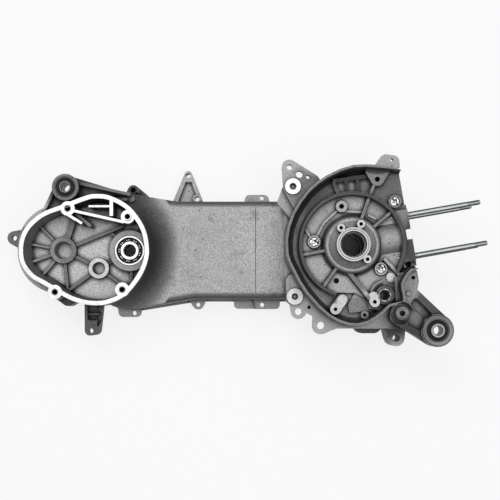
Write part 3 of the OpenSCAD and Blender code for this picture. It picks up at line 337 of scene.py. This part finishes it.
cast_f = cast_aluminium(
    "cast_flywheel",
    [
        (DOWEL_SEAT_Z, 0.96, DOWEL_SEATS[0], 0.0, 0.0095), (DOWEL_SEAT_Z, 0.66, DOWEL_SEATS[1], 0.0, 0.0097),
        (NOTCH_Z, 0.85, (0.0645, 0.0122), 0.0, 0.0064), (RING_Z, 0.62, CRANK, 0.0, 0.03),
        (EAR_Z, 0.55, CRANK, 0.0, 0.03), (GROOVE_Z, 0.36, CRANK, 0.0, 0.03),
    ] + [(PAD_Z, 0.5, c, 0.0, r) for c, r in PAD_ENDS],
    [(q, 0.0042) for q in DOWEL_SEATS],
    # Places darkened with painted shade
    [
        ((0.082, -0.078), 0.055, 0.056, -0.05, -0.0235, 0.72),                # mounting arm
        ((0.045, 0.058), 0.034, 0.030, -0.05, -0.02, 0.45),                   # scroll, upper right
        ((-0.030, 0.062), 0.055, 0.034, -0.05, -0.025, 0.5),                  # scroll, upper left
        ((0.0, 0.072), 0.028, 0.017, -0.0255, -0.0235, 0.85),                 # tops of the fins
        ((0.0283, 0.0900), 0.020, 0.0105, -0.0182, -0.0165, 0.75, 0.0),       # web of the upper right screw boss
        (STARTER, 0.02, 0.02, -0.0195, -0.0175, 0.75),                        # starter boss
        (CRANK, 0.15, 0.15, -0.0075, -0.0065, 0.5),                           # scroll rim
        (CRANK, 0.10, 0.10, -0.0105, -0.0095, 0.85, 0.3),                     # inner ring
        (CRANK, 0.0565, 0.0565, -0.0168, -0.0156, 0.55, 0.0),                 # tops of the ribs
        (CRANK, 0.15, 0.15, -0.0305, -0.0075, 0.45, 0.385),                   # channel of the scroll
        ((0.070, 0.004), 0.015, 0.040, -0.045, -0.012, 0.8),                  # wall beside the cylinder
        ((0.0965, -0.0958), 0.03, 0.03, -0.0235, -0.017, 0.35, 0.0),          # eye of the arm
        ((0.0608, -0.0959), 0.02, 0.016, -0.06, -0.02, 0.6),                  # root of the arm
    ],
    # Places lightened with painted light
    [
        ((-0.0055, 0.0675), 0.014, 0.008, -0.031, -0.0256, 0.3),              # floor between the fins
        ((0.0665, -0.044), 0.0135, 0.026, -0.0285, -0.02, 0.3),               # plate beside the scroll
        ((0.0574, -0.0736), 0.0105, 0.0105, -0.045, -0.02, 0.25),             # screw boss of the arm
        ((0.0775, -0.0665), 0.010, 0.010, -0.045, -0.028, 0.1),               # pockets of the arm
        ((0.0747, -0.0824), 0.009, 0.010, -0.045, -0.028, 0.1),
        ((0.0545, -0.046), 0.009, 0.022, OUTLET_Z - 0.0002, OUTLET_Z + 0.0002, 0.25, 0.0),
        ((0.0, 0.010), 0.034, 0.028, -0.0235, -0.0016, 0.15),                 # hub
    ],
    [((0.0435, -0.034), 0.008, 0.007, -0.0245, -0.02, 0.9)],                  # beside the right case screw
)
# Screw heads: spots of painted glints, and painted shade on their sides
zinc = steel("zinc_plated", (0.02, 0.02, 0.02), (0.85, 0.855, 0.85), 0.15, 420.0, side=0.05, glint=True)
# Studs: painted shade on the sides that turn away from up
drawn = steel("drawn_steel", (0.20, 0.215, 0.22), (0.42, 0.435, 0.44), 0.25, 300.0, 0.8, (-TILT, (0.05, 1, 1)),
              side=0.14)
ground = steel("ground_steel", (0.45, 0.455, 0.46), (0.62, 0.625, 0.63), 0.3, 500.0)
bearing = steel("bearing_steel", (0.86, 0.86, 0.86), (0.97, 0.97, 0.97), 0.18, 300.0, 0.55, contact=0.003)
# Outer ring: bright only in a band of its face, painted near black outside it as shade
outer_ring = steel("bearing_outer_ring", (0.86, 0.86, 0.86), (0.97, 0.97, 0.97), 0.18, 300.0, 0.4, contact=0.001,
                   ring=(CLUTCH, 0.0154, 0.0171))
dark_cage = steel("bearing_cage", (0.006, 0.006, 0.006), (0.016, 0.016, 0.016), 0.6, 300.0, 0.0)
shell_steel = steel("bush_shell_steel", (0.07, 0.07, 0.073), (0.13, 0.13, 0.134), 0.45, 300.0, 0.5)
# Sleeves: painted shade on the sides that turn away from up
sleeve_steel = steel("bush_sleeve_steel", (0.08, 0.081, 0.082), (0.34, 0.342, 0.345), 0.35, 700.0, 0.6, side=0.25)
# Starter bush: spots of painted glints
bronze = steel("starter_bush_bronze", (0.10, 0.096, 0.088), (0.42, 0.40, 0.37), 0.32, 300.0, glint=True)
black = rubber("bush_rubber", (0.012, 0.012, 0.013), (0.04, 0.04, 0.042))
paper = rubber("gasket_paper", (0.05, 0.048, 0.045), (0.11, 0.105, 0.1))

looks = {
    "transmission_side_case": cast_t, "flywheel_side_case": cast_f, "case_joint_gasket": paper, "case_dowels": ground,
    "case_screws": zinc, "cylinder_studs": drawn, "shock_bush_shell": shell_steel, "shock_bush_rubber": black,
    "shock_bush_sleeve": sleeve_steel, "engine_mount_shell": shell_steel, "engine_mount_rubber": black,
    "engine_mount_sleeve": sleeve_steel, "clutch_bearing_outer_ring": outer_ring, "clutch_bearing_inner_ring": bearing,
    "clutch_bearing_balls": bearing, "clutch_bearing_cage": dark_cage, "gear_cover_dowel": ground,
    "clutch_shaft_seal": black, "starter_bush": bronze,
}
for name, mat in looks.items():
    mesh = nodes[name].data
    mesh.materials.clear()
    mesh.materials.append(mat)
    for p in mesh.polygons:
        p.material_index = 0


def piece(name, shape, mat, body="case", smooth=False):
    """A piece of the scene that rides on a body. Its shape is a list of points in metres and a list of faces, as the
    next functions return it."""
    mesh = bpy.data.meshes.new(name)
    verts, faces = shape
    mesh.from_pydata([tuple(v) for v in verts], [], faces)
    mesh.validate()
    mesh.update()
    mesh.materials.append(mat)
    for p in mesh.polygons:
        p.use_smooth = smooth
    obj = bpy.data.objects.new(name, mesh)
    bpy.context.scene.collection.objects.link(obj)
    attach(obj, body)


def merged(shapes):
    """One shape from several."""
    verts, faces = [], []
    for v, f in shapes:
        faces += [[i + len(verts) for i in q] for q in f]
        verts += v
    return verts, faces


def quads(rows, k, closed=False):
    """Faces between neighbouring rows of k points each, and from the last row to the first if closed."""
    faces = []
    for a in range(rows if closed else rows - 1):
        b = (a + 1) % rows
        faces += [[a * k + j, a * k + (j + 1) % k, b * k + (j + 1) % k, b * k + j] for j in range(k)]
    return faces


def loft(rows):
    """Closed band through closed rows of the same length, the last joined to the first."""
    return [p for r in rows for p in r], quads(len(rows), len(rows[0]), True)


def stack(rows):
    """Solid through closed rows of the same length, with flat ends."""
    k, n = len(rows[0]), len(rows)
    ends = [list(range(k))[::-1], list(range((n - 1) * k, n * k))]
    return [p for r in rows for p in r], ends + quads(n, k)


def band(centre, profile, steps=72, a0=0.0, a1=360.0):
    """Solid ring, or part of one, of a closed profile given as radius and height."""
    whole = abs(a1 - a0) > 359.9
    count = steps if whole else steps + 1
    k = len(profile)
    verts = []
    for i in range(count):
        a = math.radians(a0 + (a1 - a0) * i / steps)
        verts += [(centre[0] + r * math.cos(a), centre[1] + r * math.sin(a), h) for r, h in profile]
    faces = [[p, s, r, q] for p, q, r, s in quads(count, k, whole)]
    if not whole:
        faces += [list(range(k))[::-1], [(count - 1) * k + j for j in range(k)]]
    return verts, faces


def drafted_rib(a, b, z0, z1, foot_width, top_width):
    """Straight rib that is wider at its foot, with sloping sides."""
    a, b = Vector(a), Vector(b)
    d = (b - a).normalized()
    side = Vector((-d.y, d.x))
    rows = []
    for z, w in ((z0, foot_width), (z0 + (z1 - z0) * 0.18, foot_width * 0.4 + top_width * 0.6), (z1, top_width)):
        rows.append([(p.x + side.x * w / 2 * s, p.y + side.y * w / 2 * s, z)
                     for p, s in ((a, 1), (b, 1), (b, -1), (a, -1))])
    return stack(rows)


def foot(centre, r, z, size=0.0022, a0=0.0, a1=360.0, steps=64, inside=False):
    """Concave fillet at the foot of a round wall of radius r, outside it or inside it."""
    s = -1 if inside else 1
    arc = [(r + s * size * (1 - math.cos(t)), z + size * (1 - math.sin(t))) for t in (0, 0.4, 0.8, 1.2, math.pi / 2)]
    back = r - s * 0.0008
    profile = [(back, z + size)] + arc + [(r + s * size, z - SINK), (back, z - SINK)]
    return band(centre, profile if s > 0 else profile[::-1], steps, a0, a1)


def helix(place, radius, depth, pitch, turns, steps=20):
    """Thread ridge round a local Z axis, running out at both ends. place turns a local point into the row's frame."""
    rows, n = [], int(turns * steps)
    root = radius - 0.0003
    for i in range(n + 1):
        a = 2 * math.pi * i / steps
        z = pitch * i / steps
        fade = min(1.0, i / steps, (n - i) / steps)
        rows.append([place(Vector((r * math.cos(a), r * math.sin(a), z + dz)))
                     for r, dz in ((root, -0.46 * pitch), (radius + depth * fade, 0.0), (root, 0.46 * pitch))])
    return stack(rows)


def dome(centre, r, z, h, rings=4, steps=14):
    """Shallow round head that stands on height z."""
    verts = []
    for i in range(rings):
        t = i / rings * math.pi / 2
        rr = r * math.cos(t)
        for j in range(steps):
            a = 2 * math.pi * j / steps
            verts.append((centre[0] + rr * math.cos(a), centre[1] + rr * math.sin(a), z + h * math.sin(t)))
    top, low = len(verts), len(verts) + 1
    verts += [(centre[0], centre[1], z + h), (centre[0], centre[1], z)]
    last = (rings - 1) * steps
    caps = [[last + j, last + (j + 1) % steps, top] for j in range(steps)]
    caps += [[(j + 1) % steps, j, low] for j in range(steps)]
    return verts, quads(rings, steps) + caps


def smooth_closed(points, n):
    """Closed curve through the points, with n points for each span."""
    k = len(points)
    out = []
    for i in range(k):
        a, b, c, d = (Vector(points[(i + j) % k]) for j in (-1, 0, 1, 2))
        for j in range(n):
            t = j / n
            out.append(0.5 * (2 * b + (c - a) * t + (2 * a - 5 * b + 4 * c - d) * t * t
                              + (3 * b - a - 3 * c + d) * t ** 3))
    return out


# Gear housing. Its outline, as in the part, in millimetres from its round end
GEAR_OUTLINE = [
    (62.4, 4), (57, 26), (40.6, 48.6), (18.6, 60.9), (1, 63), (-11, 60.6), (-37, 50.7), (-60.7, 41.2), (-78.4, 25.2),
    (-85.9, 6), (-84.2, -16), (-72.5, -32.2), (-59.3, -40), (-43, -49.6), (-25.6, -58.8), (-6.6, -63.8), (14, -63),
    (35.3, -53.5), (52.2, -33.5), (61, -14),
]
GEAR_WALL = 5.0
# Rows of its drafted wall, in millimetres: height, depth from the outline and share of the lean. The last two are
# inside the plain wall.
DRAFT_ROWS = [
    (-33.4, 5.0, 0.0), (-40, 5.0, 0.22), (-48, 5.0, 0.47), (-56, 5.0, 0.68), (-61, 5.1, 0.8), (-64, 5.4, 0.9),
    (-65.4, 6.0, 1.0), (-65.95, 6.6, 1.1), (-66.6, 6.6, 1.1), (-66.6, 4.2, 0.0), (-33.4, 4.2, 0.0),
]


def draft_depth(height, base, share, turn):
    """Depth of the drafted wall from the outline. turn is the direction from the round end in degrees: the wall leans
    most at the far end and least beside the channel, where its fillet is small too."""
    if height < -66.5 and base < GEAR_WALL:
        return base
    lean = 1.2 + 3.7 * math.exp(-((abs(turn) - 178) / 26) ** 2) + 2.3 * math.exp(-((turn + 140) / 26) ** 2)
    lean -= 1.0 * math.exp(-(turn / 30) ** 2)
    step = 0.3 * (base - GEAR_WALL) if abs(turn) < 24 else base - GEAR_WALL
    return GEAR_WALL + step + lean * share


def gear_draft():
    """Sloping inner face of the gear housing wall, with a fillet to the floor."""
    line = smooth_closed(GEAR_OUTLINE, 6)
    inward = []
    for i in range(len(line)):
        v = line[(i + 1) % len(line)] - line[i - 1]
        inward.append(Vector((-v.y, v.x)).normalized())
    rows = []
    for height, base, share in DRAFT_ROWS:
        row = []
        for p, q in zip(line, inward):
            at = p + q * draft_depth(height, base, share, math.degrees(math.atan2(p.y, p.x)))
            row.append((GEAR.x + at.x * MM, GEAR.y + at.y * MM, height * MM))
        rows.append(row)
    return loft(rows)


piece("gear_wall_draft", gear_draft(), cast_t)


def stretched(start, x, y, share):
    """End of a rib at share of the line from start to a point given in millimetres from the gear housing."""
    a = Vector(start).to_2d()
    return a + (Vector((GEAR.x + x * MM, GEAR.y + y * MM)) - a) * share, 0.0


# Ribs of its floor. Each end is a point and the radius of the seat that the rib starts from.
AT_AXLE, AT_COUNTER, AT_CLUTCH = (AXLE, 0.0115), (COUNTER, 0.0085), (CLUTCH, 0.0182)
# From the axle to the wall: x, y, width and height in millimetres, and the share by which they run on into the wall
AXLE_RIBS = [
    (-62, 23, 2.6, 7.0, 1.3), (-76.4, 7, 2.6, 7.0, 1.1), (-76.2, -13.4, 3.0, 7.0, 1.1), (-65, -30, 3.0, 7.0, 1.16),
    (-35.3, -41.6, 3.2, 7.0, 1.2), (-27.6, 36, 6.0, 9.2, 1.16), (24, 26, 3.0, 7.0, 1.1),
]
# All of them: both ends, width and height in millimetres
GEAR_RIBS = [(AT_AXLE, stretched(AXLE, x, y, share), w, h) for x, y, w, h, share in AXLE_RIBS] + [
    (AT_AXLE, AT_COUNTER, 3.4, 7.0), (AT_COUNTER, AT_CLUTCH, 3.4, 3.6),
    (AT_COUNTER, stretched(COUNTER, -30, -44, 1.28), 3.2, 7.0),
    (AT_COUNTER, stretched(COUNTER, 28, -40, 1.15), 3.2, 7.0),
    (((CLUTCH.x + 0.0016, CLUTCH.y - 0.020), 0.0), ((CLUTCH.x + 0.0016, CLUTCH.y - 0.050), 0.0), 3.0, 8.0),
    (((CLUTCH.x - 0.022, CLUTCH.y + 0.020), 0.0), ((CLUTCH.x - 0.013, CLUTCH.y + 0.012), 0.0), 3.0, 7.0),
]


def gear_rib(start, end, width, height):
    """Drafted rib over a plain one, from the edge of its seat."""
    p, q = Vector(start[0]).to_2d(), Vector(end[0]).to_2d()
    d = (q - p).normalized()
    p += d * start[1]
    q -= d * end[1]
    return drafted_rib(p, q, GEAR_FLOOR_Z - 0.001, GEAR_FLOOR_Z + height * MM + PROUD, (width + 3.0) * MM,
                       (width - 0.4) * MM)


piece("gear_floor_ribs", merged([gear_rib(*r) for r in GEAR_RIBS]), cast_t)

# Fillets round the seats on the floor, and the raised ring of the bearing boss
piece("gear_seat_feet", merged([
    foot(AXLE, 0.0152, GEAR_FLOOR_Z), foot(COUNTER, 0.0118, GEAR_FLOOR_Z),
    foot(CLUTCH, CLUTCH_BOSS, GEAR_FLOOR_Z, a0=62, a1=298),
    band(CLUTCH, [(0.0202, GEAR_FLOOR_Z - 0.001), (CLUTCH_BOSS, GEAR_FLOOR_Z - 0.001),
                  (CLUTCH_BOSS, GEAR_FLOOR_Z + 0.0098), (CLUTCH_BOSS - 0.0006, GEAR_FLOOR_Z + 0.0103),
                  (0.0202, GEAR_FLOOR_Z + 0.0103)]),
]), cast_t)

# Cylinder studs: threads at their outer ends
AXIS = Vector((math.cos(TILT), math.sin(TILT), 0))
ACROSS = Vector((-math.sin(TILT), math.cos(TILT), 0))


def on_stud(across, rise, start):
    """Function that turns a point of a stud, with Z along it, into the row's frame."""
    origin = AXIS * (CYLINDER_FACE + start) + ACROSS * across + Vector((0, 0, SPLIT_Z + rise))
    return lambda p: tuple(origin + AXIS * p.z + ACROSS * p.x + Vector((0, 0, p.y)))


piece("stud_threads", merged([
    helix(on_stud(a * STUD_HALF_PITCH, b * STUD_HALF_PITCH, STUD_OUT - THREAD_LENGTH),
          THREAD_RADIUS, THREAD_DEPTH, THREAD_PITCH, THREAD_TURNS)
    for a in (-1, 1) for b in (-1, 1)
]), drawn)

# Rivets of the bearing cage, two between neighbouring balls. Their bright heads on the dark cage are partly painted
# glints, standing in for the balls' highlights
rivets = []
for i in range(BALLS):
    for side in (-5.5, 5.5):
        a = math.radians(360 / BALLS * (i + 0.5) + side)
        place = (CLUTCH.x + BALL_CIRCLE * math.cos(a), CLUTCH.y + BALL_CIRCLE * math.sin(a))
        rivets.append(dome(place, 0.00085, CAGE_TOP_Z, 0.0006))
piece("bearing_cage_rivets", merged(rivets), bearing, "bearing_cage", smooth=True)

# Hollow screw boss at the end of the bracket
piece("bracket_screw_boss", band((CLUTCH.x + 0.0015, 0.0691), [
    (0.0, FLANGE_Z + 0.0002), (0.0054, FLANGE_Z + 0.0002), (0.0049, -0.0785), (0.0044, -0.078), (0.0034, -0.078),
    (0.0031, -0.0785), (0.0031, -0.098), (0.0, -0.098),
], 40), cast_t)

# Ends of the case dowels, down in their seats
DOWEL_END_Z = DOWEL_SEAT_Z - 0.0045
piece("dowel_ends", merged([dome(q, 0.0033, DOWEL_END_Z, 0.0007, 3, 28) for q in DOWEL_SEATS]), sleeve_steel,
      smooth=True)

# Flywheel side casting. Raised floor of the air outlet between the web and the plate, and the small boss on the plate
OUTLET = [
    (0.0530, -0.0310), (0.0505, -0.0355), (0.0513, -0.0440), (0.0513, -0.0625), (0.0555, -0.0625), (0.0560, -0.0520),
    (0.0548, -0.0440), (0.0575, -0.0370), (0.0620, -0.0300),
]
piece("outlet_floor", stack([[(x, y, z) for x, y in OUTLET] for z in (SCROLL_FLOOR_Z + 0.002, OUTLET_Z)]), cast_f)
piece("plate_small_boss", band((0.0648, -0.0544), [
    (0.0, PLATE_Z - 0.0002), (0.0036, PLATE_Z - 0.0002), (0.0031, -0.0247), (0.0, -0.0245),
], 28), cast_f)

# Feet of the walls, bosses and hub inside the scroll
piece("scroll_feet", merged([
    foot(CRANK, 0.060, SCROLL_FLOOR_Z, 0.003, 105, 235, 48),
    foot(CRANK, 0.057, WALL_TOP_Z, 0.0024, -30, 250, 72, True),
    foot((-0.012, 0.0438), 0.0065, WALL_TOP_Z, 0.002), foot((-0.0428, 0.004), 0.0072, WALL_TOP_Z, 0.0018),
    foot((0.0329, -0.0266), 0.0072, WALL_TOP_Z, 0.0018), foot(STARTER, 0.0106, WALL_TOP_Z, 0.002),
]), cast_f)

# Ribs round the hub: both ends in metres, width and height in millimetres
SCROLL_RIBS = [
    ((-0.0300, -0.0060), (-0.0572, -0.01115), 3.2, 8.0), ((-0.0165, -0.0241), (-0.0322, -0.0464), 3.2, 8.0),
    ((0.0098, 0.0280), (0.0189, 0.0537), 3.2, 8.0), ((0.0236, 0.0201), (0.0437, 0.0371), 3.2, 8.0),
    ((-0.0045, -0.0299), (0.0195, -0.0596), 4.6, 7.6), ((0.0366, -0.0156), (0.0530, -0.0330), 3.4, 7.0),
]
piece("scroll_floor_ribs", merged([
    drafted_rib(a, b, WALL_TOP_Z - SINK, WALL_TOP_Z + h * MM + PROUD, (w + 2.8) * MM, (w - 0.6) * MM)
    for a, b, w, h in SCROLL_RIBS
]), cast_f)

# Camera straight above, over the left part of the channel, framed with a vertical shift
camera = bpy.data.objects.new("camera", bpy.data.cameras.new("camera"))
bpy.context.scene.collection.objects.link(camera)
camera.location = (-0.11537, -0.07313, 1.147)
camera.data.lens = 74.304
camera.data.sensor_width = 36
camera.data.shift_y = 0.12
camera.data.clip_start = 0.05
camera.data.clip_end = 30
bpy.context.scene.camera = camera


def area(name, place, size, power):
    """Square lamp that points at the middle of the part."""
    light = bpy.data.lights.new(name, "AREA")
    light.shape = "SQUARE"
    light.size = size
    light.energy = power
    obj = bpy.data.objects.new(name, light)
    bpy.context.scene.collection.objects.link(obj)
    obj.location = place
    obj.rotation_euler = (Vector((-0.12, 0, -0.05)) - Vector(place)).to_track_quat("-Z", "Y").to_euler()


area("key_light", (-0.5, 0.9, 1.7), 1.1, 15)
area("top_light", (0.4, -0.2, 2.1), 1.5, 15)


def seen(m):
    """1 for rays that look at a surface, straight or by way of a mirror, and 0 for those that gather light."""
    rays = m.add("ShaderNodeLightPath").outputs
    mirrored = m.math("MAXIMUM", rays["Is Glossy Ray"], rays["Is Transmission Ray"])
    return m.math("MAXIMUM", rays["Is Camera Ray"], mirrored)


# White studio that is seen at full tone and lights the part softly
world = bpy.data.worlds.new("studio")
bpy.context.scene.world = world
studio = Nodes(world, "ShaderNodeOutputWorld")
soft = studio.add("ShaderNodeBackground", {0: WHITE, 1: 0.36})
white = studio.add("ShaderNodeBackground", {0: WHITE, 1: 1.0})
studio.finish(studio.add("ShaderNodeMixShader", {0: seen(studio), 1: soft.outputs[0], 2: white.outputs[0]}).outputs[0])

# Pale floor under the belt cover flange. Under the closed belt room it is lit only by what gets in.
CRANK_ROOM, CLUTCH_ROOM = 0.0538, 0.0635
bpy.ops.mesh.primitive_plane_add(size=9, location=(0, 0, FLANGE_Z - 0.0002))
floor = bpy.context.object
floor.name = "floor"
pale = Nodes(bpy.data.materials.new("pale_floor"))
x, y, _ = pale.add("ShaderNodeSeparateXYZ", {0: pale.add("ShaderNodeTexCoord").outputs["Object"]}).outputs
room = pale.math("LESS_THAN", reach(pale, x, y, (0, CHANNEL_Y)), CRANK_ROOM)
room = pale.math("MAXIMUM", room, pale.math("LESS_THAN", reach(pale, x, y, CLUTCH), CLUTCH_ROOM))
channel = pale.math("MULTIPLY", between(pale, x, CLUTCH.x, 0.0),
                    between(pale, y, CHANNEL_Y - CRANK_ROOM, CHANNEL_Y + CRANK_ROOM))
room = pale.math("MAXIMUM", room, channel)
glowing = pale.math("MULTIPLY", pale.math("MULTIPLY", seen(pale), 0.8), pale.math("SUBTRACT", 1.0, room))
own = pale.add("ShaderNodeBsdfDiffuse", {"Color": (0.9, 0.9, 0.9, 1)})
glow = pale.add("ShaderNodeEmission", {"Color": WHITE, "Strength": 1.0})
both = pale.add("ShaderNodeMixShader", {0: glowing, 1: own.outputs[0], 2: glow.outputs[0]})
floor.data.materials.append(pale.finish(both.outputs[0]))
